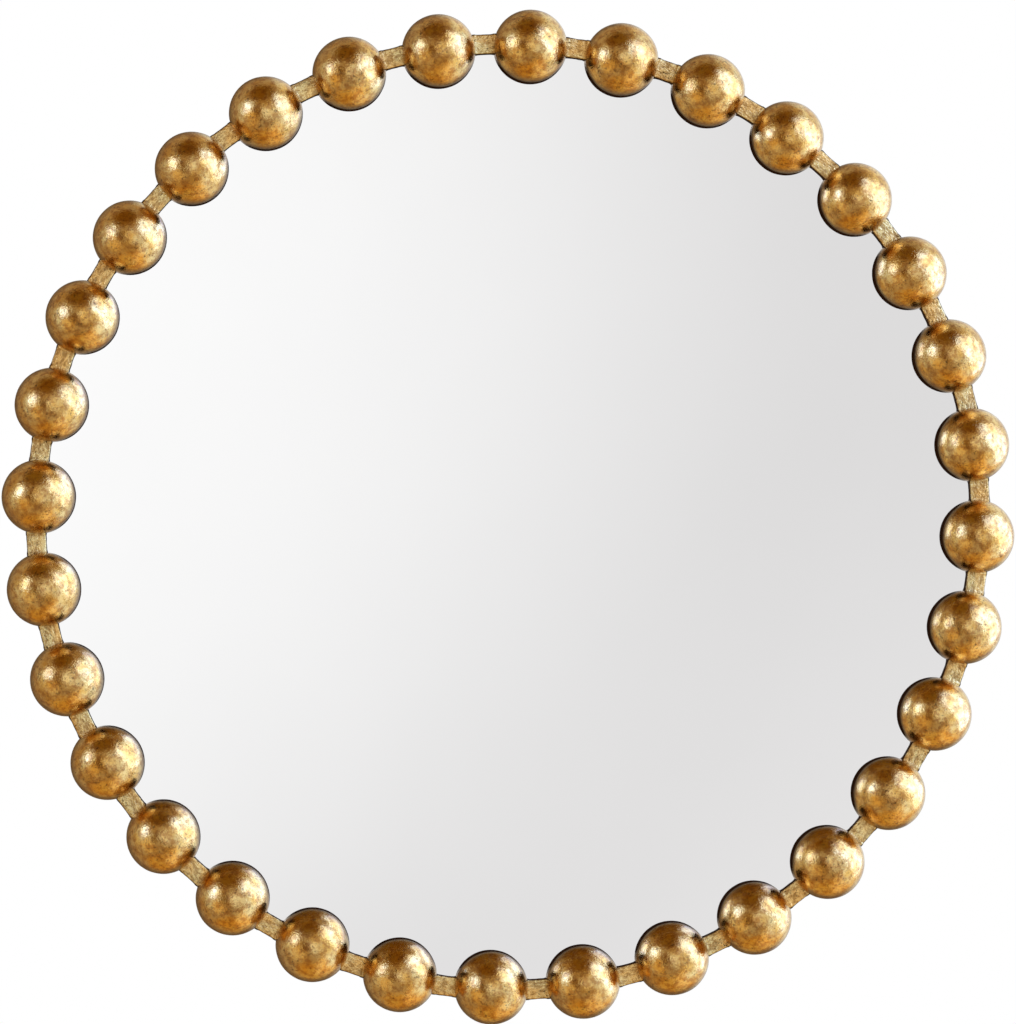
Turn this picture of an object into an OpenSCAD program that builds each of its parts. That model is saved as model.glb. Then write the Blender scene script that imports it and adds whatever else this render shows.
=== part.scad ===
// Round wall mirror in a ring of gilded metal beads.
// Hollow pressed beads straddle a rolled flat bar, which lies on the face of the glass.
// The glass is taped to a backing board, and bent clips hold the board to the beads.
// Sizes are in millimetres. +Z is up, the mirror looks towards -Y, and the wall is Y = 0.
// The origin is the middle of the ring, on the wall.

/* [Bead ring] */
// Diameter of the circle through the middles of the beads
ring_d = 800; // [760:1:900]
// Number of beads round the ring
bead_count = 32; // [24:4:32]
// Turn of the first bead from straight up, in degrees clockwise
first_bead_turn = 2.4; // [-5:0.1:5]
// Diameter of a bead
bead_d = 63; // [58:0.5:68]
// Height of a bead's middle above the glass
bead_rise = 4; // [3:0.5:12]
// Wall of a bead's pressed shell
bead_wall = 1.5; // [1:0.1:2]
// Thickness of the plate that closes a bead at the back
bead_plate_t = 1.5; // [1:0.1:2.5]

/* [Flat bar] */
// Width of the bar across its face
bar_w = 17; // [12:0.5:20]
// How far the middle of the bar lies outside the middles of the beads
bar_shift = 2; // [0:0.5:4]
// Thickness of the bar
bar_t = 5; // [4:0.5:8]
// Radius of the bar's softened front edges
bar_edge_r = 1.5; // [0.5:0.1:2]
// Clearance between the bar and the notch of a bead, which the weld fills
notch_gap = 0.3; // [0.1:0.05:0.6]

/* [Mirror glass] */
// How far the glass reaches past the middles of the beads
glass_lap = 3; // [1:0.5:4]
// Thickness of the glass
glass_t = 4; // [3:0.5:6]
// Size of the ground arris on the edge of the glass
arris = 0.6; // [0.3:0.1:1]

/* [Mounting tape] */
// Width of a strip of foam tape
tape_w = 25; // [15:1:40]
// Thickness of the foam tape
tape_t = 1; // [0.8:0.1:2]
// Distance from one strip to the next
tape_pitch = 100; // [60:5:120]
// How far the ends of the strips stay inside the edge of the glass
tape_margin = 45; // [30:5:80]

/* [Backing board] */
// How far the board reaches past the middles of the beads
board_lap = 5; // [4:0.5:6]
// Thickness of the board
board_t = 9; // [8:0.5:12]
// Chamfer on the board's edges, which the clips' bends follow
board_chamfer = 1; // [0.5:0.1:2]

/* [Clips] */
// Number of clips round the board, each behind a bead
clip_count = 8; // [4:4:8]
// Width of a clip
clip_w = 15; // [10:1:20]
// Thickness of the clip's steel strip
clip_t = 1.5; // [1:0.1:2]
// Length of the foot that is welded to the back of a bead
clip_foot = 15; // [10:1:18]
// Length of the tongue that lies on the board
clip_tongue = 20; // [16:1:30]
// Clearance between a clip and the edge of the board
clip_gap = 0.3; // [0.1:0.1:0.8]

/* [Screws] */
// Diameter of a screw's shank
screw_d = 3.5; // [3:0.1:4]
// Length of a screw under its head
screw_l = 8; // [6:0.5:9]
// Diameter of a screw's pan head
screw_head_d = 7; // [6:0.1:8]
// Height of a screw's pan head
screw_head_h = 2.2; // [1.8:0.1:2.6]
// Clearance round a screw's shank, on each side
screw_gap = 0.1; // [0.05:0.05:0.3]
// How much deeper a pilot hole is than its screw
pilot_extra = 0.5; // [0.2:0.1:0.8]

/* [Hangers] */
// Distance between the two hangers
hanger_spacing = 480; // [300:10:560]
// Height of the hangers' rings above the middle of the mirror
hanger_z = 180; // [100:10:220]
// Width of a hanger's folded strap
strap_w = 14; // [10:0.5:16]
// Length of the strap below its ring
strap_l = 46; // [42:1:60]
// Thickness of each of the strap's two layers
strap_t = 1; // [0.8:0.1:1.5]
// Distance from the ring to the strap's upper screw
strap_screw_z = 27; // [26:0.5:30]
// Distance between the strap's two screws
strap_screw_pitch = 12; // [9:0.5:14]
// Diameter of the ring's wire
wire_d = 3; // [2.5:0.1:4]
// Clearance between the strap and the ring's two lower bends, on each side
loop_side_gap = 0.8; // [0.4:0.1:4]
// Length of the ring's straight arms
loop_arm = 4; // [2:0.5:8]
// Radius of the ring's two lower bends, at the middle of the wire
loop_bend_r = 3.2; // [2.5:0.1:4]
// Running clearance of the ring in its strap, on each side
pivot_gap = 0.1; // [0.05:0.01:0.1]
// Clearance of the hanging ring in front of its strap
rest_gap = 0.4; // [0.3:0.1:1]

/* [Bumpers] */
// Thickness of a rubber bumper, which sets the gap to the wall
bumper_t = 8; // [7:0.5:12]
// Diameter of a bumper at the board
bumper_d = 20; // [14:1:26]
// Distance from the edge of the board to the middle of a bumper
bumper_inset = 45; // [42:1:80]
// Slope of a bumper's side, as the loss of radius over its thickness
bumper_taper = 1.5; // [0.5:0.1:3]
// Chamfer round a bumper's rear face
bumper_chamfer = 1; // [0.5:0.1:2]

/* [Hidden] */
$fn = 96;
ring_r = ring_d / 2;
bead_r = bead_d / 2;
bar_inner_r = ring_r + bar_shift - bar_w / 2;
bar_outer_r = bar_inner_r + bar_w;
glass_r = ring_r + glass_lap;
board_r = ring_r + board_lap;

// Planes from the wall to the front, all at or below zero
board_back_y = -bumper_t;
board_front_y = board_back_y - board_t;
glass_back_y = board_front_y - tape_t;
glass_front_y = glass_back_y - glass_t;
bead_y = glass_front_y - bead_rise;

beads_per_clip = bead_count / clip_count;
clip_inner_r = board_r + clip_gap;
clip_outer_r = clip_inner_r + clip_t;
clip_screw_r = clip_inner_r - clip_tongue / 2;
pilot_r = screw_d / 2 + screw_gap;

wire_r = wire_d / 2;
bore_r = wire_r + pivot_gap;
barrel_r = bore_r + strap_t;
pivot_y = board_back_y + barrel_r;
loop_half = strap_w / 2 + loop_side_gap + loop_bend_r;
loop_reach = loop_bend_r + loop_arm + loop_half;
strap_face = 2 * strap_t - barrel_r;
rest_tilt = asin((strap_face + wire_r + rest_gap) / loop_reach);
bumper_turns = [45, 135, 225, 315];

function two_digits(n) = n < 10 ? str("0", n) : str(n);
function bead_name(n) = str("bead_", two_digits(n));
function bead_turn(n) = first_bead_turn + 360 / bead_count * (n - 1);
function clip_name(n) = str("clip_", n);
function clip_turn(n) = bead_turn(1 + beads_per_clip * (n - 1));
function bumper_name(n) = str("bumper_", n);
function side_name(side) = side < 0 ? "left" : "right";

// Stands a shape that was drawn along +Z on the plane Y = y, pointing to the wall
module face_wall(y) {
    translate([0, y, 0])
        rotate([-90, 0, 0])
            children();
}

// Turns a shape that was drawn at twelve o'clock clockwise round the ring
module turned(angle) {
    rotate([0, angle, 0])
        children();
}

// A flat disc with chamfered edges, drawn along +Z
module chamfered_disc(r, t, chamfer) {
    rotate_extrude($fn = 256)
        polygon([
            [0, 0],
            [r - chamfer, 0],
            [r, chamfer],
            [r, t - chamfer],
            [r - chamfer, t],
            [0, t]
        ]);
}

// The bar's section: square at the glass and softened at the front, as a radius and a height
module bar_section() {
    translate([bar_inner_r, -bar_t + bar_edge_r])
        square([bar_w, bar_t - bar_edge_r]);
    translate([bar_inner_r + bar_edge_r, -bar_t])
        square([bar_w - 2 * bar_edge_r, bar_t]);
    for (x = [bar_inner_r + bar_edge_r, bar_outer_r - bar_edge_r])
        translate([x, -bar_t + bar_edge_r])
            circle(bar_edge_r);
}

// The flat bar, rolled to a ring, on the face of the glass
module bar_ring() {
    color("#c9a055")
        face_wall(glass_front_y)
            rotate_extrude($fn = 256)
                bar_section();
}

// The space that the bar takes through the beads, with its clearance
module bar_notch() {
    face_wall(glass_front_y)
        rotate_extrude($fn = 256)
            translate([bar_inner_r - notch_gap, -bar_t - notch_gap])
                square([bar_w + 2 * notch_gap, bar_t + notch_gap + 1]);
}

// Half the outline of a ball of radius r above a level h, both from the ball's middle
module half_ball(r, h) {
    intersection() {
        circle(r);
        translate([0, h])
            square([r + 1, 2 * r]);
    }
}

// A hollow ball cut flat at the glass and closed there by a plate, at twelve o'clock
module bead_shell() {
    translate([0, bead_y, ring_r])
        rotate([90, 0, 0])
            rotate_extrude()
                difference() {
                    half_ball(bead_r, -bead_rise);
                    half_ball(bead_r - bead_wall, bead_plate_t - bead_rise);
                }
}

// A bead, notched at the back to straddle the bar
module bead(n) {
    color("#b5812f")
        turned(bead_turn(n))
            difference() {
                bead_shell();
                bar_notch();
            }
}

// The silvered glass disc with a fine ground arris
module mirror_glass() {
    color("#dfe3e5")
        face_wall(glass_front_y)
            chamfered_disc(glass_r, glass_t, arris);
}

// Upright strips of foam tape between the glass and the board
module mounting_tape() {
    reach = glass_r - tape_margin;
    strips = floor((reach - tape_w) / tape_pitch);
    color("#3a3a38")
        for (k = [-strips : strips]) {
            x = k * tape_pitch;
            half = sqrt(pow(reach, 2) - pow(abs(x) + tape_w / 2, 2));
            translate([x - tape_w / 2, glass_back_y, -half])
                cube([tape_w, tape_t, 2 * half]);
        }
}

// Places a child, drawn along +Z from the board's back face, at each clip's screw
module at_clip_screws() {
    for (n = [1 : clip_count])
        turned(clip_turn(n))
            translate([0, board_back_y, clip_screw_r])
                rotate([-90, 0, 0])
                    children();
}

// Places a child the same way at the two screws of each hanger
module at_hanger_screws() {
    for (side = [-1, 1])
        for (k = [0, 1])
            translate([
                side * hanger_spacing / 2,
                board_back_y,
                hanger_z - strap_screw_z - k * strap_screw_pitch
            ])
                rotate([-90, 0, 0])
                    children();
}

// The hole for a screw whose head sits on a plate of thickness t
module pilot_hole(t) {
    depth = screw_l + pilot_extra;
    translate([0, 0, t - depth])
        cylinder(r = pilot_r, h = depth + 1);
}

// The backing board, drilled for the screws
module backing_board() {
    color("#2c2825")
        difference() {
            face_wall(board_front_y)
                chamfered_disc(board_r, board_t, board_chamfer);
            at_clip_screws()
                pilot_hole(clip_t);
            at_hanger_screws()
                pilot_hole(2 * strap_t);
        }
}

// A quarter of a strip's bend, from the +X axis to the +Y axis
module bend(inner_r, t) {
    intersection() {
        difference() {
            circle(inner_r + t);
            circle(inner_r);
        }
        square(inner_r + t);
    }
}

// The clip's bent strip seen from its side, as a radius and a height above the glass's face
module clip_section() {
    r = board_chamfer;
    depth = board_back_y - glass_front_y;
    // The foot on the back of the bead, and its bend
    translate([clip_outer_r + r, 0])
        square([clip_foot - r, clip_t]);
    translate([clip_outer_r + r, clip_t + r])
        rotate(180)
            bend(r, clip_t);
    // The run past the edges of the glass and the board
    translate([clip_inner_r, clip_t + r])
        square([clip_t, depth - clip_t - 2 * r]);
    // The bend over the board's edge, and the tongue
    translate([clip_inner_r - r, depth - r])
        bend(r, clip_t);
    translate([clip_inner_r - clip_tongue, depth])
        square([clip_tongue - r, clip_t]);
}

// A bent clip behind a bead, from the bead's back plate to the back of the board
module clip(n) {
    color("#8d8a84")
        turned(clip_turn(n))
            difference() {
                translate([clip_w / 2, glass_front_y, 0])
                    rotate([0, -90, 0])
                        linear_extrude(clip_w)
                            clip_section();
                translate([0, board_back_y, clip_screw_r])
                    rotate([-90, 0, 0])
                        pilot_hole(clip_t);
            }
}

// A pan-head screw whose head sits on a plate of thickness t
module screw(t) {
    translate([0, 0, t - screw_l])
        cylinder(d1 = screw_d / 4, d2 = screw_d, h = screw_d / 2);
    translate([0, 0, t - screw_l + screw_d / 2])
        cylinder(d = screw_d, h = screw_l - screw_d / 2);
    translate([0, 0, t])
        rotate_extrude()
            polygon([
                [0, 0],
                [screw_head_d / 2, 0],
                [screw_head_d / 2, screw_head_h * 0.5],
                [screw_head_d / 2 - screw_head_h * 0.35, screw_head_h],
                [0, screw_head_h]
            ]);
}

// One screw through each clip
module clip_screws() {
    color("#b9b6ae")
        at_clip_screws()
            screw(clip_t);
}

// Two screws through each hanger's strap
module hanger_screws() {
    color("#b9b6ae")
        at_hanger_screws()
            screw(2 * strap_t);
}

// The folded strap seen from its side: two layers on the board, and a barrel round the wire
module strap_section() {
    difference() {
        union() {
            circle(barrel_r);
            translate([-barrel_r, -strap_l])
                square([2 * strap_t, strap_l - bore_r]);
        }
        circle(bore_r);
    }
}

// The strap's outline seen from the wall, with a round lower end
module strap_outline() {
    translate([0, -strap_l + strap_w / 2])
        circle(d = strap_w);
    translate([-strap_w / 2, -strap_l + strap_w / 2])
        square([strap_w, strap_l + barrel_r]);
}

// The hanger's strap, folded round the straight bar of the ring
module hanger_strap(side) {
    color("#a8a49a")
        difference() {
            translate([side * hanger_spacing / 2, pivot_y, hanger_z])
                intersection() {
                    translate([-strap_w / 2, 0, 0])
                        rotate([90, 0, 90])
                            linear_extrude(strap_w)
                                strap_section();
                    translate([0, barrel_r + 1, 0])
                        rotate([90, 0, 0])
                            linear_extrude(2 * barrel_r + 2)
                                strap_outline();
                }
            at_hanger_screws()
                pilot_hole(2 * strap_t);
        }
}

// A straight piece of the ring's wire between two points
module wire(from, to) {
    run = to - from;
    translate(from)
        rotate([0, atan2(run[0], run[2]), 0])
            cylinder(d = wire_d, h = norm(run));
}

// A bend of the ring's wire round a centre, from one angle over a sweep
module wire_bend(centre, r, start, sweep) {
    translate(centre)
        rotate([90, 0, 0])
            rotate(start)
                rotate_extrude(angle = sweep)
                    translate([r, 0])
                        circle(d = wire_d, $fn = 48);
}

// The D-shaped ring hanging straight down from its own straight bar
module hanging_loop() {
    half = loop_half;
    side = half - loop_bend_r;
    wire([-side, 0, 0], [side, 0, 0]);
    wire_bend([side, 0, -loop_bend_r], loop_bend_r, 0, 90);
    wire_bend([-side, 0, -loop_bend_r], loop_bend_r, 90, 90);
    wire([half, 0, -loop_bend_r], [half, 0, -loop_bend_r - loop_arm]);
    wire([-half, 0, -loop_bend_r], [-half, 0, -loop_bend_r - loop_arm]);
    wire_bend([0, 0, -loop_bend_r - loop_arm], half, 180, 180);
}

// The hanger's ring, free to swing in its strap and resting just in front of it
module hanger_ring(side) {
    color("#c4c0b6")
        translate([side * hanger_spacing / 2, pivot_y, hanger_z])
            rotate([rest_tilt, 0, 0])
                hanging_loop();
}

// A rubber bumper, wide at the board and flat at the wall
module bumper(n) {
    small_r = bumper_d / 2 - bumper_taper;
    color("#2a2a2a")
        turned(bumper_turns[n - 1])
            translate([0, 0, board_r - bumper_inset])
                face_wall(board_back_y)
                    rotate_extrude()
                        polygon([
                            [0, 0],
                            [bumper_d / 2, 0],
                            [small_r, bumper_t - bumper_chamfer],
                            [small_r - bumper_chamfer, bumper_t],
                            [0, bumper_t]
                        ]);
}

for (n = [1 : bead_count])
    bead(n);
bar_ring();
mirror_glass();
mounting_tape();
backing_board();
for (n = [1 : clip_count])
    clip(n);
clip_screws();
hanger_screws();
for (side = [-1, 1])
    hanger_strap(side);
for (side = [-1, 1])
    hanger_ring(side);
for (n = [1 : len(bumper_turns)])
    bumper(n);
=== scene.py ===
"""Round wall mirror in a ring of gilded beads: the finish of every piece, and a small photo studio."""

import math

import bpy
from bpy.props import FloatProperty, FloatVectorProperty, PointerProperty
from mathutils import Matrix, Vector, noise


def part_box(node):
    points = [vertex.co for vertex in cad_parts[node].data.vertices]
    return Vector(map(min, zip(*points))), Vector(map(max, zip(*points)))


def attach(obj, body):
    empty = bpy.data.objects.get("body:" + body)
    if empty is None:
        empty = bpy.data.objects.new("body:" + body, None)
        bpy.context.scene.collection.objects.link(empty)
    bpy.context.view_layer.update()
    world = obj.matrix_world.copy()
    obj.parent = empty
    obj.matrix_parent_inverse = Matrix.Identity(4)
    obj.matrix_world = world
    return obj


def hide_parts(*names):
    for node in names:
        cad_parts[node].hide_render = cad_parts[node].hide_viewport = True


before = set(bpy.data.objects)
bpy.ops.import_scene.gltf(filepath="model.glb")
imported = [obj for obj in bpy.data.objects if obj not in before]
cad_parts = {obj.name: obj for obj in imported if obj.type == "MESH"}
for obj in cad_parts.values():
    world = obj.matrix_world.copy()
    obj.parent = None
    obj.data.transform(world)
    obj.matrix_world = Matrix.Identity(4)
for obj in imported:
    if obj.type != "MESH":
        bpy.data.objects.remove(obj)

bl_info = {
    "name": "Beaded Wall Mirror",
    "version": (1, 0, 0),
    "blender": (4, 5, 0),
    "location": "3D View > Sidebar > Beaded Mirror",
    "description": "Gilded beads, silvered glass and hanging hardware of a round wall mirror",
    "category": "Object",
}

MM = 0.001
BEAD_NAMES = sorted(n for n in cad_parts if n.startswith("bead_"))
CLIP_NAMES = sorted(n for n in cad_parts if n.startswith("clip_") and n != "clip_screws")
BUMPER_NAMES = sorted(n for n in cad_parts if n.startswith("bumper_"))


def linear(hex_colour):
    """An sRGB hex colour as the linear RGBA that shaders take."""
    channels = [int(hex_colour[i:i + 2], 16) / 255 for i in (0, 2, 4)]
    return tuple(c / 12.92 if c <= 0.04045 else ((c + 0.055) / 1.055) ** 2.4 for c in channels) + (1.0,)


def scaled(tint, share, lift=0.0):
    """A linear colour made darker or brighter."""
    return tuple(channel * share + lift for channel in tint[:3]) + (1.0,)


def middle(node):
    """The centre of a node's box."""
    low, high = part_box(node)
    return (low + high) / 2


# Sizes that the frame in model.glb gives.
BEAD_LOW, BEAD_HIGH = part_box(BEAD_NAMES[0])
BEAD_RADIUS = (BEAD_HIGH.x - BEAD_LOW.x) / 2
BEAD_DEPTH = BEAD_LOW.y + BEAD_RADIUS
FIRST_BEAD = middle(BEAD_NAMES[0])
RING_RADIUS = math.hypot(FIRST_BEAD.x, FIRST_BEAD.z)
FIRST_TURN = math.atan2(FIRST_BEAD.x, FIRST_BEAD.z)
BEAD_STEP = 2 * math.pi / len(BEAD_NAMES)
BEAD_TURNS = [FIRST_TURN + i * BEAD_STEP for i in range(len(BEAD_NAMES))]
CLIP_TURNS = BEAD_TURNS[::len(BEAD_NAMES) // len(CLIP_NAMES)]
BAR_LOW, BAR_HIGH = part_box("bar_ring")
BAR_INNER = min(math.hypot(v.co.x, v.co.z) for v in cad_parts["bar_ring"].data.vertices)
BAR_RADIUS = (BAR_HIGH.x + BAR_INNER) / 2
GLASS_LOW, GLASS_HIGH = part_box("mirror_glass")


def colour(name, description, hex_colour):
    """A colour that a user can change, written as sRGB hex."""
    return FloatVectorProperty(name=name, description=description, subtype="COLOR", size=4,
                               min=0.0, max=1.0, default=linear(hex_colour))


def length(name, description, millimetres):
    """A length that a user can change, written in millimetres."""
    return FloatProperty(name=name, description=description, unit="LENGTH", precision=5,
                         default=millimetres * MM)


def number(name, description, value):
    """A plain number that a user can change."""
    return FloatProperty(name=name, description=description, default=value)


class BeadLook(bpy.types.PropertyGroup):
    """Sizes and colours of the gilded beads."""
    dent: length("Dent", "How far the pressed shell falls short of a true ball", 0.22)
    dent_run: length("Dent run", "Distance from one shallow dent to the next", 11)
    lip: length("Lip", "Radius of the turned edge round the back plate", 0.8)
    back_set: length("Back set", "How far the back plate sits in from the bar's back", 0.25)
    patch: length("Patch", "Size of a patch of toned leaf", 13)
    mottle: length("Mottle", "Size of the stains in the toning", 5)
    speck: length("Speck", "Size of a rubbed spot that shows the ground", 2.2)
    wrinkle: length("Wrinkle", "Distance between the leaf's fine wrinkles", 1.7)
    wrinkle_depth: length("Wrinkle depth", "Height of the fine wrinkles", 0.14)
    rubbed: number("Rubbed", "How far the worst spots are rubbed through", 0.7)
    toning: number("Toning", "How far the toning hides the leaf where it pooled", 0.65)
    # Painted shade: each bead darkens towards the glass, most on the side towards the ring's centre.
    painted_shade: length("Patina", "How far before its widest line a bead starts to darken towards the glass", 20)
    pale_leaf: colour("Pale leaf", "Leaf where the toning is thin", "F8D78E")
    amber_leaf: colour("Amber leaf", "Leaf under amber toning", "EEBA5E")
    brown_leaf: colour("Brown leaf", "Leaf where the toning pooled", "B07230")
    # The ground is also the colour that the painted shade darkens the leaf to.
    ground: colour("Ground", "Dark ground that shows through the leaf", "2C190C")


class BarLook(bpy.types.PropertyGroup):
    """Sizes and colours of the gilded flat bar."""
    round_front: length("Round front", "Radius of the bar's two front edges", 1.5)
    round_back: length("Round back", "Radius of the bar's two back edges", 0.4)
    uneven: length("Uneven", "How far the hand-finished sides wander", 0.16)
    weld: length("Weld", "Throat of the weld where the bar enters a bead", 0.45)
    weld_run: length("Weld run", "How far the weld tapers out along the bar", 1.0)
    # The bar's edges are darkened to bare ground as a painted dark reflection.
    painted_dark_edge: length("Worn edge", "Width of the edge where the leaf is rubbed away", 1.0)
    streak: number("Streak", "The leaf's pattern is drawn out along the bar by 1 over this", 0.6)
    patch: length("Patch", "Size of a patch of toned leaf", 16)
    mottle: length("Mottle", "Size of the stains in the toning", 2.8)
    speck: length("Speck", "Size of a rubbed spot that shows the ground", 1.6)
    wrinkle: length("Wrinkle", "Distance between the leaf's fine wrinkles", 1.6)
    wrinkle_depth: length("Wrinkle depth", "Height of the fine wrinkles", 0.46)
    rubbed: number("Rubbed", "How far the worst spots are rubbed through", 1.0)
    toning: number("Toning", "How far the toning hides the leaf where it pooled", 0.65)
    pale_leaf: colour("Pale leaf", "Leaf where the toning is thin", "FFECAC")
    amber_leaf: colour("Amber leaf", "Leaf under amber toning", "FFD080")
    brown_leaf: colour("Brown leaf", "Leaf where the toning pooled", "986628")
    # The ground is also the colour of the bar's painted dark edges.
    ground: colour("Ground", "Brown ground that shows through the leaf", "3C2410")


class GlassLook(bpy.types.PropertyGroup):
    """Sizes and colours of the mirror glass."""
    arris: length("Arris", "Width of the ground edge on each face", 0.6)
    silver: colour("Silver", "The silvering seen through clear float glass", "FDFEFE")
    edge: colour("Edge", "The ground edge of the glass", "A9C4B8")
    backing_paint: colour("Backing paint", "The paint that protects the silvering", "7C8487")


class BackLook(bpy.types.PropertyGroup):
    """Sizes and colours of the board and the hardware on the back."""
    fibre: length("Fibre", "Length of the fibres in the board's face", 2.2)
    screw_head: length("Screw head", "Diameter of a pan head", 7)
    head_height: length("Head height", "Height of a pan head", 2.2)
    screw_length: length("Screw length", "Length of a screw under its head", 8)
    recess_width: length("Recess width", "Width of the cross recess", 4.2)
    weld_drop: length("Weld drop", "Diameter of one drop in a clip's weld", 3.2)
    board: colour("Board", "Medium-density fibreboard", "A98560")
    board_dark: colour("Board dark", "Bark flecks in the fibreboard", "6E5237")
    zinc: colour("Zinc", "Zinc-plated steel", "C9CBC9")
    nickel: colour("Nickel", "Nickel-plated steel", "D4CFC5")
    rubber: colour("Rubber", "Moulded rubber", "2B2B2A")
    foam: colour("Foam", "Foam of the mounting tape", "3A3A38")


class StudioLook(bpy.types.PropertyGroup):
    """The camera, the lamps and the floor."""
    camera_place: FloatVectorProperty(
        name="Camera place", description="Where the camera stands",
        subtype="TRANSLATION", unit="LENGTH", default=(-0.305, -4.526, -0.02))
    camera_aim: FloatVectorProperty(
        name="Camera aim", description="The point in the middle of the picture",
        subtype="TRANSLATION", unit="LENGTH", default=(-0.0025, -0.026, 0.004))
    lens: number("Lens", "Focal length in millimetres on a 36 mm sensor", 186.66)
    floor_drop: length("Floor drop", "How far the floor lies under the ring's centre", 620)
    floor_radius: length("Floor radius", "Radius of the round floor", 1200)
    fill: number("Fill", "Strength of the even light from all round", 0.62)
    floor: colour("Floor", "Matt pale floor", "F8EDCF")


GROUPS = {"bead_look": BeadLook, "bar_look": BarLook, "glass_look": GlassLook, "back_look": BackLook,
          "studio_look": StudioLook}


def add(tree, kind, feeds=(), **settings):
    """Adds a node with its settings and links.

    Feeds go by socket name or, as a list, in the order of the sockets in use. A feed is a value to set, a
    socket to link from, or a node, whose first output in use is linked.
    """
    made = tree.nodes.new(kind)
    for key, value in settings.items():
        setattr(made, key, value)
    if isinstance(feeds, dict):
        pairs = [(made.inputs[name], feed) for name, feed in feeds.items()]
    else:
        pairs = zip([socket for socket in made.inputs if socket.enabled], feeds)
    for socket, feed in pairs:
        if isinstance(feed, bpy.types.Node):
            feed = next(output for output in feed.outputs if output.enabled)
        if isinstance(feed, bpy.types.NodeSocket):
            tree.links.new(feed, socket)
        else:
            socket.default_value = feed
    return made


def empty_material(name):
    """A material with no nodes yet, and its node tree."""
    material = bpy.data.materials.new(name)
    material.use_nodes = True
    material.node_tree.nodes.clear()
    return material, material.node_tree


def grain(tree, place, size, detail=2.0, rough=0.5, low=0.3, high=0.7, to_low=0.0, to_high=1.0):
    """Cloudy noise whose spots are about size across, spread between two levels."""
    cloud = add(tree, "ShaderNodeTexNoise", {
        "Vector": place, "Scale": 1 / size, "Detail": detail, "Roughness": rough})
    return add(tree, "ShaderNodeMapRange", {
        "Value": cloud, "From Min": low, "From Max": high, "To Min": to_low, "To Max": to_high})


def finish_material(material, tree, feeds):
    """Joins the feeds to a Principled shader and the shader to the output."""
    shader = add(tree, "ShaderNodeBsdfPrincipled", feeds)
    add(tree, "ShaderNodeOutputMaterial", {"Surface": shader})
    return material


def gold_leaf(name, look, place_name=None, rough=0.1, lacquer=0.35):
    """Imitation gold leaf over a dark ground, toned with amber shellac, rubbed and lacquered.

    The eye sees a satin metal whose reflections break up in fine wrinkles, warm patches where the
    toning pooled, and dark shallow spots where the leaf was rubbed through. Where the mesh's painted_shade
    value rises to 1 the leaf darkens into painted shade and gives out.
    The wrinkles and the spots are drawn about twice as coarse as real ones, so that they show.
    """
    material, tree = empty_material(name)
    place = add(tree, "ShaderNodeTexCoord").outputs["Object"]
    if place_name:
        place = add(tree, "ShaderNodeAttribute", attribute_name=place_name).outputs["Vector"]
    # painted_shade: painted shade on the beads near the glass, painted dark reflection on the bar's edges.
    painted_shade = add(tree, "ShaderNodeAttribute", attribute_name="painted_shade").outputs["Fac"]
    full_painted_shade = add(tree, "ShaderNodeMapRange", {"Value": painted_shade, "From Min": 0.5, "From Max": 0.95})
    toned = grain(tree, place, look.patch, detail=3.0, rough=0.55, low=0.38, high=0.62)
    pooled = grain(tree, place, look.mottle, detail=4.0, rough=0.65, low=0.44, high=0.61)
    rubbed_area = grain(tree, place, look.patch * 0.8, low=0.40, high=0.60, to_low=0.1, to_high=look.rubbed)
    specks = grain(tree, place, look.speck, detail=3.0, rough=0.6, low=0.54, high=0.68)
    rubbed = add(tree, "ShaderNodeMath", [rubbed_area, specks], operation="MULTIPLY")
    rubbed_and_shaded = add(tree, "ShaderNodeMath", [rubbed, full_painted_shade], operation="MAXIMUM")
    stained = add(tree, "ShaderNodeMath", [pooled, look.toning], operation="MULTIPLY")
    # The leaf darkens to the ground colour where painted shade lies and where it is rubbed through.
    layers = [(toned, look.amber_leaf), (stained, look.brown_leaf), (painted_shade, look.ground),
              (rubbed_and_shaded, look.ground)]
    leaf = tuple(look.pale_leaf)
    for share, tint in layers:
        leaf = add(tree, "ShaderNodeMix", [share, leaf, tuple(tint)], data_type="RGBA")

    # Bare ground and full painted shade are dull, and pooled toning a little duller than clean leaf.
    dulled = add(tree, "ShaderNodeMath", [full_painted_shade, 0.5, rough], operation="MULTIPLY_ADD")
    satin = add(tree, "ShaderNodeMath", [pooled, 0.08, dulled], operation="MULTIPLY_ADD")
    # Where the painted shade is full, the leaf is no longer metal and loses its lacquer.
    metal = add(tree, "ShaderNodeMath", [1.0, full_painted_shade], operation="SUBTRACT")

    # Fine wrinkles lie on broader folds, and the rubbed spots are shallow pits.
    wrinkles = grain(tree, place, look.wrinkle, detail=3.0, rough=0.6, low=0.2, high=0.8)
    folds = grain(tree, place, look.mottle, low=0.2, high=0.8)
    folded = add(tree, "ShaderNodeMath", [folds, 0.6, wrinkles], operation="MULTIPLY_ADD")
    relief = add(tree, "ShaderNodeMath", [specks, -0.25, folded], operation="MULTIPLY_ADD")
    bump = add(tree, "ShaderNodeBump", {"Strength": 1.0, "Distance": look.wrinkle_depth, "Height": relief})
    feeds = {"Base Color": leaf, "Metallic": metal, "Roughness": satin, "Normal": bump,
             "Specular IOR Level": 0.1}
    if lacquer:
        feeds["Coat Weight"] = add(tree, "ShaderNodeMath", [metal, lacquer], operation="MULTIPLY")
        feeds["Coat Roughness"] = 0.12
    return finish_material(material, tree, feeds)


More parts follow.
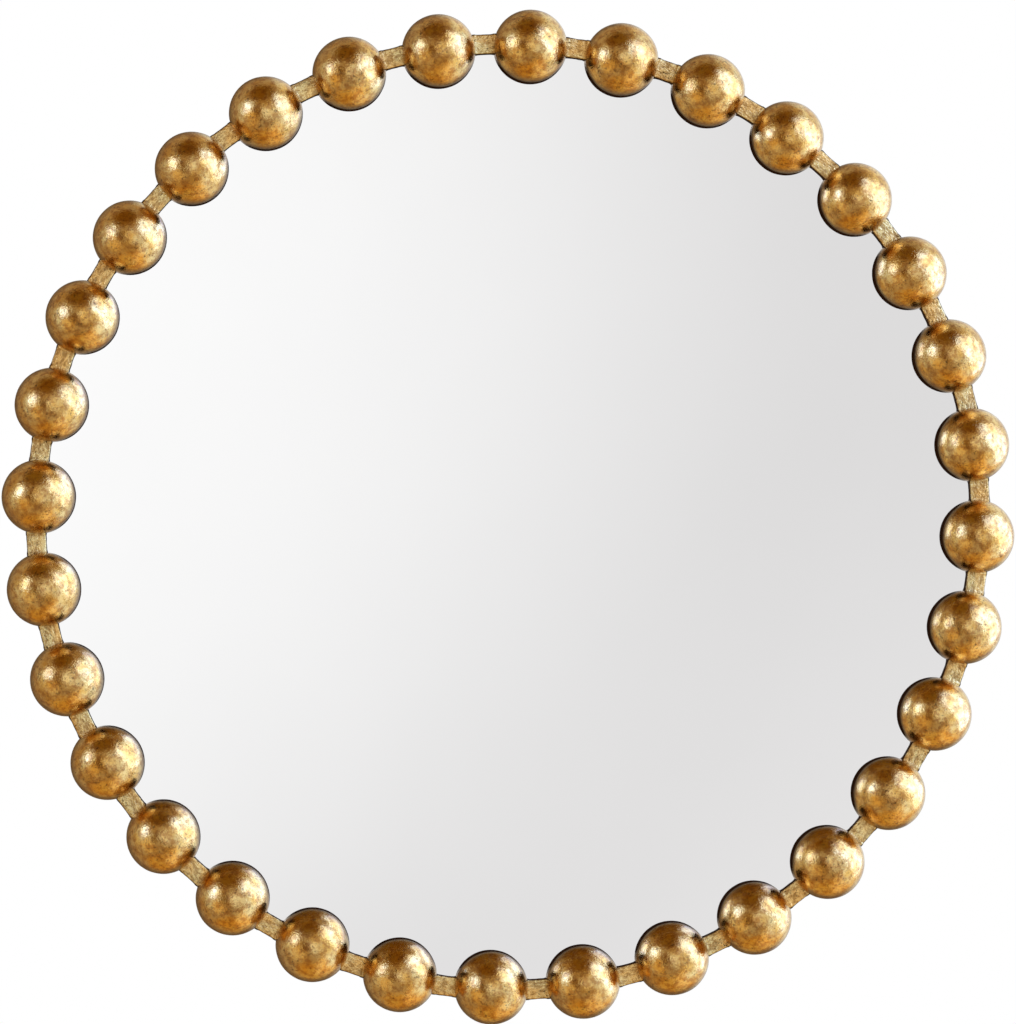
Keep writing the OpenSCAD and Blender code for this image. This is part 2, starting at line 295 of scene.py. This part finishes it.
def dark_ground(look):
    """The backs of the beads with a dark ground and no leaf, also on the faces of darkest painted shade.

    The eye sees matt black-brown.
    """
    material, tree = empty_material("black_brown_ground_and_painted_shade")
    place = add(tree, "ShaderNodeTexCoord").outputs["Object"]
    brushed = grain(tree, place, look.mottle, detail=4.0, rough=0.6)
    thin = scaled(look.ground, 1.5, 0.001)
    base = add(tree, "ShaderNodeMix", [brushed, tuple(look.ground), thin], data_type="RGBA")
    bump = add(tree, "ShaderNodeBump", {"Strength": 0.5, "Distance": 0.1 * MM, "Height": brushed})
    return finish_material(material, tree, {
        "Base Color": base, "Roughness": 0.7, "Specular IOR Level": 0.0, "Normal": bump})


def silvered_glass(look):
    """Float glass, silvered and painted behind, with a ground edge.

    The eye sees a clear mirror in front, a pale green satin edge and grey paint at the back.
    """
    material, tree = empty_material("silvered_float_glass")
    coordinates = add(tree, "ShaderNodeTexCoord").outputs
    facing = add(tree, "ShaderNodeSeparateXYZ", [coordinates["Normal"]]).outputs["Y"]
    square_on = 0.99
    is_front = add(tree, "ShaderNodeMath", [facing, -square_on], operation="LESS_THAN")
    is_back = add(tree, "ShaderNodeMath", [facing, square_on], operation="GREATER_THAN")
    film = grain(tree, coordinates["Object"], 120 * MM, detail=3.0)
    orange_peel = grain(tree, coordinates["Object"], 3 * MM, detail=3.0, to_low=0.42, to_high=0.60)
    bright, filmed = tuple(look.silver), scaled(look.silver, 0.99)
    silver = add(tree, "ShaderNodeMix", [film, bright, filmed], data_type="RGBA")
    edge, paint = tuple(look.edge), tuple(look.backing_paint)
    base = add(tree, "ShaderNodeMix", [is_back, edge, paint], data_type="RGBA")
    base = add(tree, "ShaderNodeMix", [is_front, base, silver], data_type="RGBA")
    # The front is perfectly smooth, which is also how the world tells the pane from the metal.
    satin = add(tree, "ShaderNodeMix", [is_front, orange_peel, 0.0], data_type="FLOAT")
    return finish_material(material, tree, {"Base Color": base, "Metallic": is_front, "Roughness": satin})


def fibreboard(look):
    """Medium-density fibreboard, pressed and sanded.

    The eye sees matt brown felt of fine fibres with darker bark flecks.
    """
    material, tree = empty_material("sanded_fibreboard")
    place = add(tree, "ShaderNodeTexCoord").outputs["Object"]
    clouds = grain(tree, place, 40 * MM, detail=3.0, to_high=0.35)
    fibres = grain(tree, place, look.fibre, detail=5.0, rough=0.7, low=0.42, high=0.66)
    flecks = grain(tree, place, look.fibre * 0.8, low=0.64, high=0.70, to_high=0.5)
    felt = add(tree, "ShaderNodeMath", [fibres, clouds], operation="ADD")
    felt = add(tree, "ShaderNodeMath", [felt, 0.45], operation="MULTIPLY")
    base = tuple(look.board)
    for share in (felt, flecks):
        base = add(tree, "ShaderNodeMix", [share, base, tuple(look.board_dark)], data_type="RGBA")
    bump = add(tree, "ShaderNodeBump", {"Strength": 0.6, "Distance": 0.08 * MM, "Height": fibres})
    return finish_material(material, tree, {"Base Color": base, "Roughness": 0.82, "Normal": bump})


def plated_steel(name, tint, rough, crystal):
    """Plated sheet or wire steel. The eye sees grey metal with cloudy crystals and faint draw lines."""
    material, tree = empty_material(name)
    place = add(tree, "ShaderNodeTexCoord").outputs["Object"]
    spangle = add(tree, "ShaderNodeTexVoronoi", {"Vector": place, "Scale": 1 / crystal})
    shade = add(tree, "ShaderNodeSeparateXYZ", [spangle.outputs["Color"]]).outputs["X"]
    base = add(tree, "ShaderNodeMix", [shade, tint, scaled(tint, 0.86)], data_type="RGBA")
    lines = grain(tree, place, 0.7 * MM, detail=3.0, rough=0.7)
    drawn = add(tree, "ShaderNodeMath", [lines, 0.08, rough], operation="MULTIPLY_ADD")
    satin = add(tree, "ShaderNodeMath", [shade, 0.10, drawn], operation="MULTIPLY_ADD")
    bump = add(tree, "ShaderNodeBump", {"Strength": 0.3, "Distance": 0.03 * MM, "Height": lines})
    return finish_material(material, tree, {
        "Base Color": base, "Metallic": 1.0, "Roughness": satin, "Normal": bump})


def moulded_soft(name, tint, rough, cell, relief):
    """Moulded rubber or foam. The eye sees a matt skin with fine pits and a faint dusty bloom."""
    material, tree = empty_material(name)
    place = add(tree, "ShaderNodeTexCoord").outputs["Object"]
    pits = grain(tree, place, cell, detail=3.0, rough=0.6)
    bloom = grain(tree, place, 6 * MM, to_high=0.5)
    base = add(tree, "ShaderNodeMix", [bloom, tint, scaled(tint, 1.5, 0.02)], data_type="RGBA")
    bump = add(tree, "ShaderNodeBump", {"Strength": 0.6, "Distance": relief, "Height": pits})
    return finish_material(material, tree, {"Base Color": base, "Roughness": rough, "Normal": bump})


def pale_floor(look):
    """Matt painted floor that fades out at its rim, so that it ends in the white background."""
    material, tree = empty_material("matt_pale_floor")
    place = add(tree, "ShaderNodeTexCoord").outputs["Object"]
    reach = add(tree, "ShaderNodeVectorMath", [place], operation="LENGTH")
    rim = add(tree, "ShaderNodeMapRange", {
        "Value": reach, "From Min": 0.45 * look.floor_radius, "From Max": look.floor_radius,
    }, interpolation_type="SMOOTHSTEP")
    paint = add(tree, "ShaderNodeBsdfDiffuse", {"Color": tuple(look.floor)})
    clear = add(tree, "ShaderNodeBsdfTransparent")
    mixed = add(tree, "ShaderNodeMixShader", [rim, paint, clear])
    add(tree, "ShaderNodeOutputMaterial", {"Surface": mixed})
    return material


def new_object(name, mesh, material, smooth_angle=40):
    """Puts a mesh in the scene with its material, smooth but for edges sharper than smooth_angle."""
    mesh.materials.append(material)
    mesh.polygons.foreach_set("use_smooth", [True] * len(mesh.polygons))
    mesh.set_sharp_from_angle(angle=math.radians(smooth_angle))
    made = bpy.data.objects.new(name, mesh)
    bpy.context.scene.collection.objects.link(made)
    return made


def dress(node, material):
    """Gives a CAD node its finish."""
    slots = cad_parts[node].data.materials
    slots.clear()
    slots.append(material)


def turned(name, profile, segments):
    """A closed mesh turned about the Y axis from (radius, y) points that run from front to back.

    The first and the last point lie on the axis.
    """
    points = [(0.0, profile[0][1], 0.0)]
    for radius, y in profile[1:-1]:
        for i in range(segments):
            turn = 2 * math.pi * i / segments
            points.append((radius * math.cos(turn), y, radius * math.sin(turn)))
    points.append((0.0, profile[-1][1], 0.0))
    rings = len(profile) - 2
    faces = []
    for i in range(segments):
        after = (i + 1) % segments
        faces.append((0, 1 + i, 1 + after))
        faces.append((len(points) - 1, 1 + (rings - 1) * segments + after, 1 + (rings - 1) * segments + i))
        for k in range(rings - 1):
            near, far = 1 + k * segments, 1 + (k + 1) * segments
            faces.append((near + i, far + i, far + after, near + after))
    mesh = bpy.data.meshes.new(name)
    mesh.from_pydata(points, [], faces)
    return mesh


def arc(centre_radius, centre_y, radius, start, end, steps):
    """Profile points along an arc. Angles in degrees, 0 towards the front and 90 outward."""
    turns = [math.radians(start + (end - start) * i / steps) for i in range(steps + 1)]
    return [(centre_radius + radius * math.sin(t), centre_y - radius * math.cos(t)) for t in turns]


def eased(value, start, end):
    """0 before start and 1 past end, with a smooth rise between."""
    share = min(1.0, max(0.0, (value - start) / (end - start)))
    return share * share * (3 - 2 * share)


def bead_shade_share(spot, outward, look):
    """Painted shade at a spot measured from a bead's middle: it grows towards the glass, most towards the
    ring's centre.
    """
    inward = -Vector((spot.x, 0, spot.z)).normalized().dot(outward)
    return eased(spot.y, -look.painted_shade, 0) * (0.25 + 0.75 * eased(inward, 0, 0.7))


def bead_shell(name, centre, look):
    """One pressed bead: a dome past its widest line, a turned lip and a flat back plate."""
    back_y = BEAD_HIGH.y - look.back_set - BEAD_DEPTH
    lip_y = back_y - look.lip
    edge_turn = math.degrees(math.acos(-lip_y / BEAD_RADIUS))
    dome = arc(0.0, 0.0, BEAD_RADIUS, 0.0, edge_turn, 44)
    lip = arc(dome[-1][0] - look.lip, lip_y, look.lip, 100, 180, 4)
    plate = [(lip[-1][0] * share, back_y) for share in (0.8, 0.5, 0.2)]
    mesh = turned(name, dome + lip + plate + [(0.0, back_y)], 80)
    ring_outward = Vector((centre.x, 0, centre.z)).normalized()
    dark = [bead_shade_share(vertex.co, ring_outward, look) for vertex in mesh.vertices]
    mesh.attributes.new("painted_shade", "FLOAT", "POINT").data.foreach_set("value", dark)
    # The back plate and the faces of darkest painted shade show the bare ground, the second material.
    for face in mesh.polygons:
        on_plate = face.center.y > back_y - look.lip * 0.1
        face.material_index = 1 if on_plate or min(dark[i] for i in face.vertices) > 0.8 else 0
    # Shallow dents with finer ones on them, which end at the lip.
    for vertex in mesh.vertices:
        outward = vertex.co.normalized()
        spot = (vertex.co + centre) / look.dent_run
        hollow = 0.5
        if vertex.co.y < lip_y:
            hollow += 0.35 * noise.noise(spot) + 0.15 * noise.noise(spot * 2.6)
        vertex.co = centre + vertex.co - outward * look.dent * hollow
    return mesh


def bar_section(look, swell, wander):
    """The bar's rounded outline as (outward, y) points, grown by swell and shifted by wander."""
    half = (BAR_HIGH.x - BAR_INNER) / 2 + swell
    front = BAR_LOW.y - swell
    corners = [(half - look.round_front, front + look.round_front, look.round_front, 0),
               (half - look.round_back, BAR_HIGH.y - look.round_back, look.round_back, 90),
               (-half + look.round_back, BAR_HIGH.y - look.round_back, look.round_back, 180),
               (-half + look.round_front, front + look.round_front, look.round_front, 270)]
    points = []
    for out, y, radius, start in corners:
        for i in range(6):
            turn = math.radians(start + 90 * i / 5)
            points.append((out + radius * math.sin(turn) + wander, y - radius * math.cos(turn)))
    return points


def bar_mesh(look):
    """The flat bar rolled to a ring, swelling to a small weld where it enters each bead."""
    half_step = RING_RADIUS * BEAD_STEP / 2
    half = (BAR_HIGH.x - BAR_INNER) / 2
    bar_middle = (BAR_LOW.y + BAR_HIGH.y) / 2 - BEAD_DEPTH
    bead_face = math.sqrt(BEAD_RADIUS ** 2 - bar_middle ** 2)
    # Sections crowd towards the bead's face, where the weld swells. Inside the bead the bar needs none.
    hidden = bead_face - 3 * MM
    along = [hidden + (half_step - hidden) * (i / 18) ** 1.4 for i in range(19)]
    stations = [-s for s in reversed(along[:-1])] + along
    uneven_run = 7 * MM
    elsewhere = Vector((9, 0, 0))
    points, runs, dark_edge_share = [], [], []
    for bead_turn in BEAD_TURNS:
        for s in stations:
            turn = bead_turn + s / RING_RADIUS
            outward = Vector((math.sin(turn), 0, math.cos(turn)))
            free = max(0.0, abs(s) - bead_face)
            spot = outward * RING_RADIUS / uneven_run
            wander = look.uneven * noise.noise(spot)
            swell = look.weld * math.exp(-free / look.weld_run)
            swell += look.uneven * (noise.noise(spot * 1.7 + elsewhere) - 0.4)
            section = bar_section(look, swell, wander)
            points += [outward * (BAR_RADIUS + out) + Vector((0, y, 0)) for out, y in section]
            for out, y in section:
                runs.extend(outward * (RING_RADIUS * look.streak + out) + Vector((0, y, 0)))
                # A painted dark reflection along both edges of the bar, drawn as bare dark ground.
                dark_edge_share.append(eased(abs(out), half - look.painted_dark_edge, half - look.painted_dark_edge / 3))
    sections = len(BEAD_TURNS) * len(stations)
    corners = len(points) // sections
    faces = []
    for k in range(sections):
        near, far = k * corners, (k + 1) % sections * corners
        for i in range(corners):
            after = (i + 1) % corners
            faces.append((near + i, near + after, far + after, far + i))
    mesh = bpy.data.meshes.new("gilded_bar_ring")
    mesh.from_pydata(points, [], faces)
    mesh.attributes.new("run", "FLOAT_VECTOR", "POINT").data.foreach_set("vector", runs)
    mesh.attributes.new("painted_shade", "FLOAT", "POINT").data.foreach_set("value", dark_edge_share)
    return mesh


def repeated(name, mesh, places):
    """One mesh that holds a copy of another at each place matrix."""
    points, faces = [], []
    for place in places:
        start = len(points)
        points += [place @ v.co for v in mesh.vertices]
        faces += [tuple(start + i for i in p.vertices) for p in mesh.polygons]
    joined = bpy.data.meshes.new(name)
    joined.from_pydata(points, [], faces)
    return joined


def carved(mesh, cutter):
    """The mesh with the cutter's shape taken out."""
    body = bpy.data.objects.new("carved_body", mesh)
    tool = bpy.data.objects.new("carving_tool", cutter)
    for made in (body, tool):
        bpy.context.scene.collection.objects.link(made)
    cut = body.modifiers.new("recess", "BOOLEAN")
    cut.operation = "DIFFERENCE"
    cut.solver = "EXACT"
    cut.object = tool
    result = bpy.data.meshes.new_from_object(body.evaluated_get(bpy.context.evaluated_depsgraph_get()))
    for made in (body, tool):
        bpy.data.objects.remove(made)
    if len(result.polygons) <= len(mesh.polygons):
        raise RuntimeError("the recess wasn't cut")
    return result


def cross_cutter(look):
    """The two tapered blades of a cross recess, pointing along -Y from the head's top."""
    half, depth, thin = look.recess_width / 2, look.head_height * 0.75, look.recess_width * 0.11
    top, bottom = look.head_height + 0.5 * MM, look.head_height - depth
    points, faces = [], []
    for turn in (0, math.pi / 2):
        along = Vector((math.cos(turn), 0, math.sin(turn)))
        across = Vector((-math.sin(turn), 0, math.cos(turn)))
        start = len(points)
        for y, reach in ((top, half), (bottom, half * 0.35)):
            for a, b in ((-1, -1), (1, -1), (1, 1), (-1, 1)):
                points.append(along * a * reach + across * b * thin + Vector((0, y, 0)))
        for face in ((0, 3, 2, 1), (4, 5, 6, 7), (0, 1, 5, 4), (1, 2, 6, 5), (2, 3, 7, 6), (3, 0, 4, 7)):
            faces.append(tuple(start + i for i in face))
    mesh = bpy.data.meshes.new("cross_cutter")
    mesh.from_pydata(points, [], faces)
    return mesh


def pan_head_screw(look):
    """A pan head wood screw: its head's seat lies at y = 0, its shank runs to -Y."""
    head, shank = look.screw_head / 2, look.screw_head / 4
    root, neck = shank * 0.75, shank * 0.9
    tip = -look.screw_length
    thread_start = tip + 3 * MM
    pitch, threads = 1.4 * MM, 3
    profile = [(0.0, tip), (shank * 0.25, tip + 0.4 * MM), (neck, thread_start)]
    for i in range(threads):
        start = thread_start + i * pitch
        profile += [(root, start + pitch * 0.2), (shank, start + pitch * 0.5), (root, start + pitch * 0.8)]
    side, top = look.head_height * 0.45, look.head_height
    profile += [(neck, -0.05 * MM), (head - 0.25 * MM, 0.0), (head, 0.3 * MM), (head, side)]
    for degrees in range(75, 0, -15):
        turn = math.radians(degrees)
        profile.append((head * (0.62 + 0.38 * math.sin(turn)), side + (top - side) * math.cos(turn)))
    profile += [(head * 0.35, top), (0.0, top)]
    return carved(turned("pan_head_screw", profile, 40), cross_cutter(look))


def ring_place(turn, radius, y):
    """A place on the ring: local X runs outward, local Z against the clock hand, local Y to the wall."""
    outward = Vector((math.sin(turn), 0, math.cos(turn)))
    wallward = Vector((0, 1, 0))
    sideways = outward.cross(wallward)
    axes = Matrix((outward, wallward, sideways)).transposed().to_4x4()
    return Matrix.Translation(outward * radius + wallward * y) @ axes


class MIRROR_OT_gilded_beads(bpy.types.Operator):
    """Make the ring of gilded beads"""
    bl_idname = "mirror.gilded_beads"
    bl_label = "Gilded Beads"

    def execute(self, context):
        look = context.scene.bead_look
        leaf = gold_leaf("toned_gold_leaf", look)
        ground = dark_ground(look)
        for node, turn in zip(BEAD_NAMES, BEAD_TURNS):
            centre = Vector((RING_RADIUS * math.sin(turn), BEAD_DEPTH, RING_RADIUS * math.cos(turn)))
            bead = new_object(f"gilded_{node}", bead_shell(f"gilded_{node}", centre, look), leaf)
            # The second material: dark ground on the back plates and on the darkest painted shade.
            bead.data.materials.append(ground)
            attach(bead, "mirror")
            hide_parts(node)
        return {"FINISHED"}


class MIRROR_OT_gilded_bar(bpy.types.Operator):
    """Make the flat bar that carries the beads"""
    bl_idname = "mirror.gilded_bar"
    bl_label = "Gilded Bar"

    def execute(self, context):
        look = context.scene.bar_look
        leaf = gold_leaf("sandy_gold_leaf", look, "run", rough=0.24, lacquer=0.0)
        bar = new_object("gilded_bar_ring", bar_mesh(look), leaf)
        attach(bar, "mirror")
        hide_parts("bar_ring")
        return {"FINISHED"}


class MIRROR_OT_mirror_pane(bpy.types.Operator):
    """Make the silvered glass"""
    bl_idname = "mirror.mirror_pane"
    bl_label = "Mirror Pane"

    def execute(self, context):
        look = context.scene.glass_look
        radius = GLASS_HIGH.x
        front, back, arris = GLASS_LOW.y, GLASS_HIGH.y, look.arris
        profile = [(0.0, front), (radius * 0.5, front), (radius - arris, front), (radius, front + arris),
                   (radius, back - arris), (radius - arris, back), (radius * 0.5, back), (0.0, back)]
        pane = new_object("silvered_pane", turned("silvered_pane", profile, 256), silvered_glass(look), 20)
        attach(pane, "mirror")
        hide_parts("mirror_glass")
        return {"FINISHED"}


class MIRROR_OT_backing_board(bpy.types.Operator):
    """Finish the backing board and the foam tape under it"""
    bl_idname = "mirror.backing_board"
    bl_label = "Backing Board"

    def execute(self, context):
        look = context.scene.back_look
        dress("backing_board", fibreboard(look))
        dress("mounting_tape", moulded_soft("foam_tape", tuple(look.foam), 0.9, 0.5 * MM, 0.1 * MM))
        return {"FINISHED"}


class MIRROR_OT_clips(bpy.types.Operator):
    """Finish the bent clips and weld them to the beads"""
    bl_idname = "mirror.clips"
    bl_label = "Clips"

    def execute(self, context):
        look = context.scene.back_look
        zinc = plated_steel("zinc_plated_strip", tuple(look.zinc), 0.34, 5 * MM)
        for node in CLIP_NAMES:
            dress(node, zinc)
        drop = turned("weld_drop", arc(0.0, 0.0, look.weld_drop / 2, 0, 180, 8), 14)
        flattened = Matrix.Diagonal((1.0, 0.55, 1.0, 1.0))
        places = []
        for turn in CLIP_TURNS:
            foot_end = ring_place(turn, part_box(CLIP_NAMES[0])[1].z, BEAD_HIGH.y)
            # Four drops that overlap, laid by hand and so not quite in line.
            for side in (-1.6, -0.55, 0.5, 1.55):
                beside = Matrix.Translation((0.1 * side * MM, 0, side * look.weld_drop * 0.8))
                places.append(foot_end @ beside @ flattened)
        welds = new_object("clip_welds", repeated("clip_welds", drop, places), zinc)
        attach(welds, "mirror")
        return {"FINISHED"}


class MIRROR_OT_screws(bpy.types.Operator):
    """Make the pan head screws of the clips and the hangers"""
    bl_idname = "mirror.screws"
    bl_label = "Screws"

    def execute(self, context):
        look = context.scene.back_look
        steel = plated_steel("zinc_plated_wire", tuple(look.zinc), 0.28, 3 * MM)
        screw = pan_head_screw(look)
        reach = [math.hypot(v.co.x, v.co.z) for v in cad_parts["clip_screws"].data.vertices]
        clip_radius = (min(reach) + max(reach)) / 2
        clip_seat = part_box("clip_screws")[1].y - look.head_height
        # Each cross recess stands at a turn of its own, as the driver left it.
        clip_places = [ring_place(turn, clip_radius, clip_seat) @ Matrix.Rotation(count * 1.3, 4, "Y")
                       for count, turn in enumerate(CLIP_TURNS)]
        low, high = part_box("hanger_screws")
        head = look.screw_head / 2
        hanger_places = []
        for column, x in enumerate((low.x + head, high.x - head)):
            for row, z in enumerate((low.z + head, high.z - head)):
                seat = Matrix.Translation((x, high.y - look.head_height, z))
                hanger_places.append(seat @ Matrix.Rotation(column + row * 0.6, 4, "Y"))
        for node, places in (("clip_screws", clip_places), ("hanger_screws", hanger_places)):
            name = f"pan_head_{node}"
            screws = new_object(name, repeated(name, screw, places), steel, 30)
            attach(screws, "mirror")
            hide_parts(node)
        return {"FINISHED"}


class MIRROR_OT_hangers(bpy.types.Operator):
    """Finish the hanger straps and their rings"""
    bl_idname = "mirror.hangers"
    bl_label = "Hangers"

    def execute(self, context):
        look = context.scene.back_look
        strap = plated_steel("nickel_plated_strip", tuple(look.nickel), 0.26, 2 * MM)
        wire = plated_steel("nickel_plated_wire", tuple(look.nickel), 0.18, 1.5 * MM)
        for side in ("left", "right"):
            dress(f"hanger_strap_{side}", strap)
            dress(f"hanger_ring_{side}", wire)
        return {"FINISHED"}


class MIRROR_OT_bumpers(bpy.types.Operator):
    """Finish the rubber bumpers"""
    bl_idname = "mirror.bumpers"
    bl_label = "Bumpers"

    def execute(self, context):
        look = context.scene.back_look
        rubber = moulded_soft("moulded_rubber", tuple(look.rubber), 0.62, 0.6 * MM, 0.03 * MM)
        for node in BUMPER_NAMES:
            dress(node, rubber)
        return {"FINISHED"}


def toward(azimuth, elevation):
    """The direction at an azimuth, 0 towards the camera's side and positive to the right, in degrees."""
    a, e = math.radians(azimuth), math.radians(elevation)
    return Vector((math.sin(a) * math.cos(e), -math.cos(a) * math.cos(e), math.sin(e)))


def softbox(name, azimuth, elevation, distance, width, height, radiance, tint, tilt=0):
    """A rectangular lamp that faces the mirror's centre, tilted in degrees.

    Radiance 1 looks white in a mirror.
    """
    lamp = bpy.data.lights.new(name, "AREA")
    lamp.shape = "RECTANGLE"
    lamp.size, lamp.size_y = width, height
    # A flat lamp's radiance is its power over pi and its area.
    lamp.energy = radiance * math.pi * width * height
    lamp.color = linear(tint)[:3]
    made = bpy.data.objects.new(name, lamp)
    bpy.context.scene.collection.objects.link(made)
    way = toward(azimuth, elevation)
    made.location = way * distance
    facing = way.to_track_quat("Z", "Y").to_matrix() @ Matrix.Rotation(math.radians(tilt), 3, "Z")
    made.rotation_euler = facing.to_euler()
    made.visible_camera = False


def lit(tree, direction, level, patches):
    """Lays soft round patches over a colour by direction, the later ones on top.

    A patch is full inside its first angle from its middle and gone outside its second, in degrees.
    """
    for azimuth, elevation, inner, outer, tint, strength in patches:
        aim = toward(azimuth, elevation)
        near = add(tree, "ShaderNodeVectorMath", [direction, aim], operation="DOT_PRODUCT")
        share = add(tree, "ShaderNodeMapRange", {
            "Value": near,
            "From Min": math.cos(math.radians(outer)),
            "From Max": math.cos(math.radians(inner)),
        }, interpolation_type="SMOOTHSTEP")
        glow = scaled(linear(tint), strength)
        level = add(tree, "ShaderNodeMix", [share, level, glow], data_type="RGBA")
    return level


def studio_world(look):
    """White behind the mirror for camera and clear glass, an even fill, and a room to be reflected.

    The metal shows a warm, dim room with a pale wall in front of the mirror. The mirror pane itself, whose
    reflection is perfectly sharp, shows the pale studio from every side, as it does in front.
    """
    world = bpy.data.worlds.new("plain_studio")
    bpy.context.scene.world = world
    world.use_nodes = True
    tree = world.node_tree
    tree.nodes.clear()
    direction = add(tree, "ShaderNodeTexCoord").outputs["Generated"]
    # Each patch: azimuth, elevation, the angles where it is still full and already gone, colour, strength.
    dim_wall_behind = (180, -5, 25, 62, "75624A", 1.0)
    pale_wall_right = (122, 12, 30, 62, "E4E8EC", 1.2)
    daylight_right = (80, 8, 24, 56, "D2E2FF", 1.3)
    wooden_floor = (0, -90, 20, 46, "C49C56", 1.0)
    sunny_floor_right = (80, -44, 22, 46, "FBDDAC", 1.0)
    daylight_low_right = (76, -22, 16, 40, "E4EEFF", 1.25)
    dark_ceiling = (-28, 64, 22, 37, "76541C", 1.0)
    pale_wall_left = (-68, 2, 16, 38, "D0D0CC", 1.0)
    tan_wall_low_left = (-50, -20, 8, 28, "D8BE90", 1.0)
    dark_corner_left = (-24, 0, 10, 19, "7A5A30", 1.0)
    room = [dim_wall_behind, pale_wall_right, daylight_right, wooden_floor, sunny_floor_right,
            daylight_low_right, dark_ceiling, pale_wall_left, tan_wall_low_left, dark_corner_left]
    grey_wall_front = (16, 3, 17, 30, "DFDDDD", 1.0)
    paler_low_front = (11, -8, 0, 10, "E8E6E6", 1.0)
    bright_front = (-4.9, 3.8, 0, 12.8, "FFFEFE", 1.0)
    front = [grey_wall_front, paler_low_front, bright_front]
    metal_shows = lit(tree, direction, linear("A8947C"), room + front)

    # The pane's wall is clouded in spots about 20 degrees across.
    clouds = grain(tree, direction, 0.35, detail=0.0)
    studio = add(tree, "ShaderNodeMix", [clouds, linear("C9C8C6"), linear("F6F5F4")], data_type="RGBA")
    pane_shows = lit(tree, direction, studio, front)

    # Only the pane makes a ray singular, and glossy depth 1 is a ray's first reflection.
    rays = add(tree, "ShaderNodeLightPath").outputs
    first = add(tree, "ShaderNodeMath", [rays["Glossy Depth"], 1.5], operation="LESS_THAN")
    from_pane = add(tree, "ShaderNodeMath", [rays["Is Singular Ray"], first], operation="MULTIPLY")
    reflected = add(tree, "ShaderNodeMix", [from_pane, metal_shows, pane_shows], data_type="RGBA")

    fill = scaled(linear("FFFFFF"), look.fill)
    seen = add(tree, "ShaderNodeMix", [rays["Is Glossy Ray"], fill, reflected], data_type="RGBA")
    shown = add(tree, "ShaderNodeMath", [rays["Is Camera Ray"], rays["Is Transmission Ray"]], operation="ADD")
    seen = add(tree, "ShaderNodeMix", [shown, seen, linear("FFFFFF")], data_type="RGBA")
    background = add(tree, "ShaderNodeBackground", {"Color": seen, "Strength": 1.0})
    add(tree, "ShaderNodeOutputWorld", {"Surface": background})


class MIRROR_OT_studio(bpy.types.Operator):
    """Set the camera, the lamps, the background and the floor"""
    bl_idname = "mirror.studio"
    bl_label = "Studio"

    def execute(self, context):
        look = context.scene.studio_look
        lens = bpy.data.cameras.new("front_camera")
        lens.lens = look.lens
        camera = bpy.data.objects.new("front_camera", lens)
        context.scene.collection.objects.link(camera)
        camera.location = look.camera_place
        aim = Vector(look.camera_aim) - Vector(look.camera_place)
        camera.rotation_euler = aim.to_track_quat("-Z", "Y").to_euler()
        bpy.context.scene.camera = camera
        bpy.context.scene.view_settings.view_transform = "Standard"

        softbox("key_softbox", azimuth=78, elevation=14, distance=2.2, width=5.2, height=2.2,
                radiance=2.6, tint="9CB9FF", tilt=-43)
        softbox("left_softbox", azimuth=-64, elevation=14, distance=6.0, width=2.3, height=2.5,
                radiance=3.8, tint="9CB9FF")
        studio_world(look)

        rim, thick = look.floor_radius, 2 * MM
        disc = turned("studio_floor", [(0.0, 0.0), (rim, 0.0), (rim, thick), (0.0, thick)], 96)
        disc.transform(Matrix.Rotation(math.radians(-90), 4, "X"))
        floor = new_object("studio_floor", disc, pale_floor(look))
        floor.location = (0, 0, -look.floor_drop)
        # Metal and glass reflect the room of the world instead.
        floor.visible_glossy = False
        return {"FINISHED"}


OPERATORS = (MIRROR_OT_studio, MIRROR_OT_gilded_beads, MIRROR_OT_gilded_bar, MIRROR_OT_mirror_pane,
             MIRROR_OT_backing_board, MIRROR_OT_clips, MIRROR_OT_screws, MIRROR_OT_hangers, MIRROR_OT_bumpers)


class MIRROR_PT_pieces(bpy.types.Panel):
    """The mirror's pieces and their settings"""
    bl_idname = "MIRROR_PT_pieces"
    bl_label = "Beaded Mirror"
    bl_space_type = "VIEW_3D"
    bl_region_type = "UI"
    bl_category = "Beaded Mirror"

    def draw(self, context):
        layout = self.layout
        for operator in OPERATORS:
            layout.operator(operator.bl_idname)
        for attribute, group in GROUPS.items():
            box = layout.box()
            box.label(text=group.__doc__)
            for name in group.__annotations__:
                box.prop(getattr(context.scene, attribute), name)


def register():
    """Registers the settings, the operators and the panel."""
    for attribute, group in GROUPS.items():
        bpy.utils.register_class(group)
        setattr(bpy.types.Scene, attribute, PointerProperty(type=group))
    for made in OPERATORS + (MIRROR_PT_pieces,):
        bpy.utils.register_class(made)


def unregister():
    """Takes away all that register adds."""
    for made in reversed(OPERATORS + (MIRROR_PT_pieces,)):
        bpy.utils.unregister_class(made)
    for attribute, group in reversed(list(GROUPS.items())):
        delattr(bpy.types.Scene, attribute)
        bpy.utils.unregister_class(group)


def main():
    """Makes every piece."""
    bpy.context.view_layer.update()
    register()
    bpy.ops.mirror.studio()
    bpy.ops.mirror.gilded_beads()
    bpy.ops.mirror.gilded_bar()
    bpy.ops.mirror.mirror_pane()
    bpy.ops.mirror.backing_board()
    bpy.ops.mirror.clips()
    bpy.ops.mirror.screws()
    bpy.ops.mirror.hangers()
    bpy.ops.mirror.bumpers()


if __name__ == "__main__":
    main()
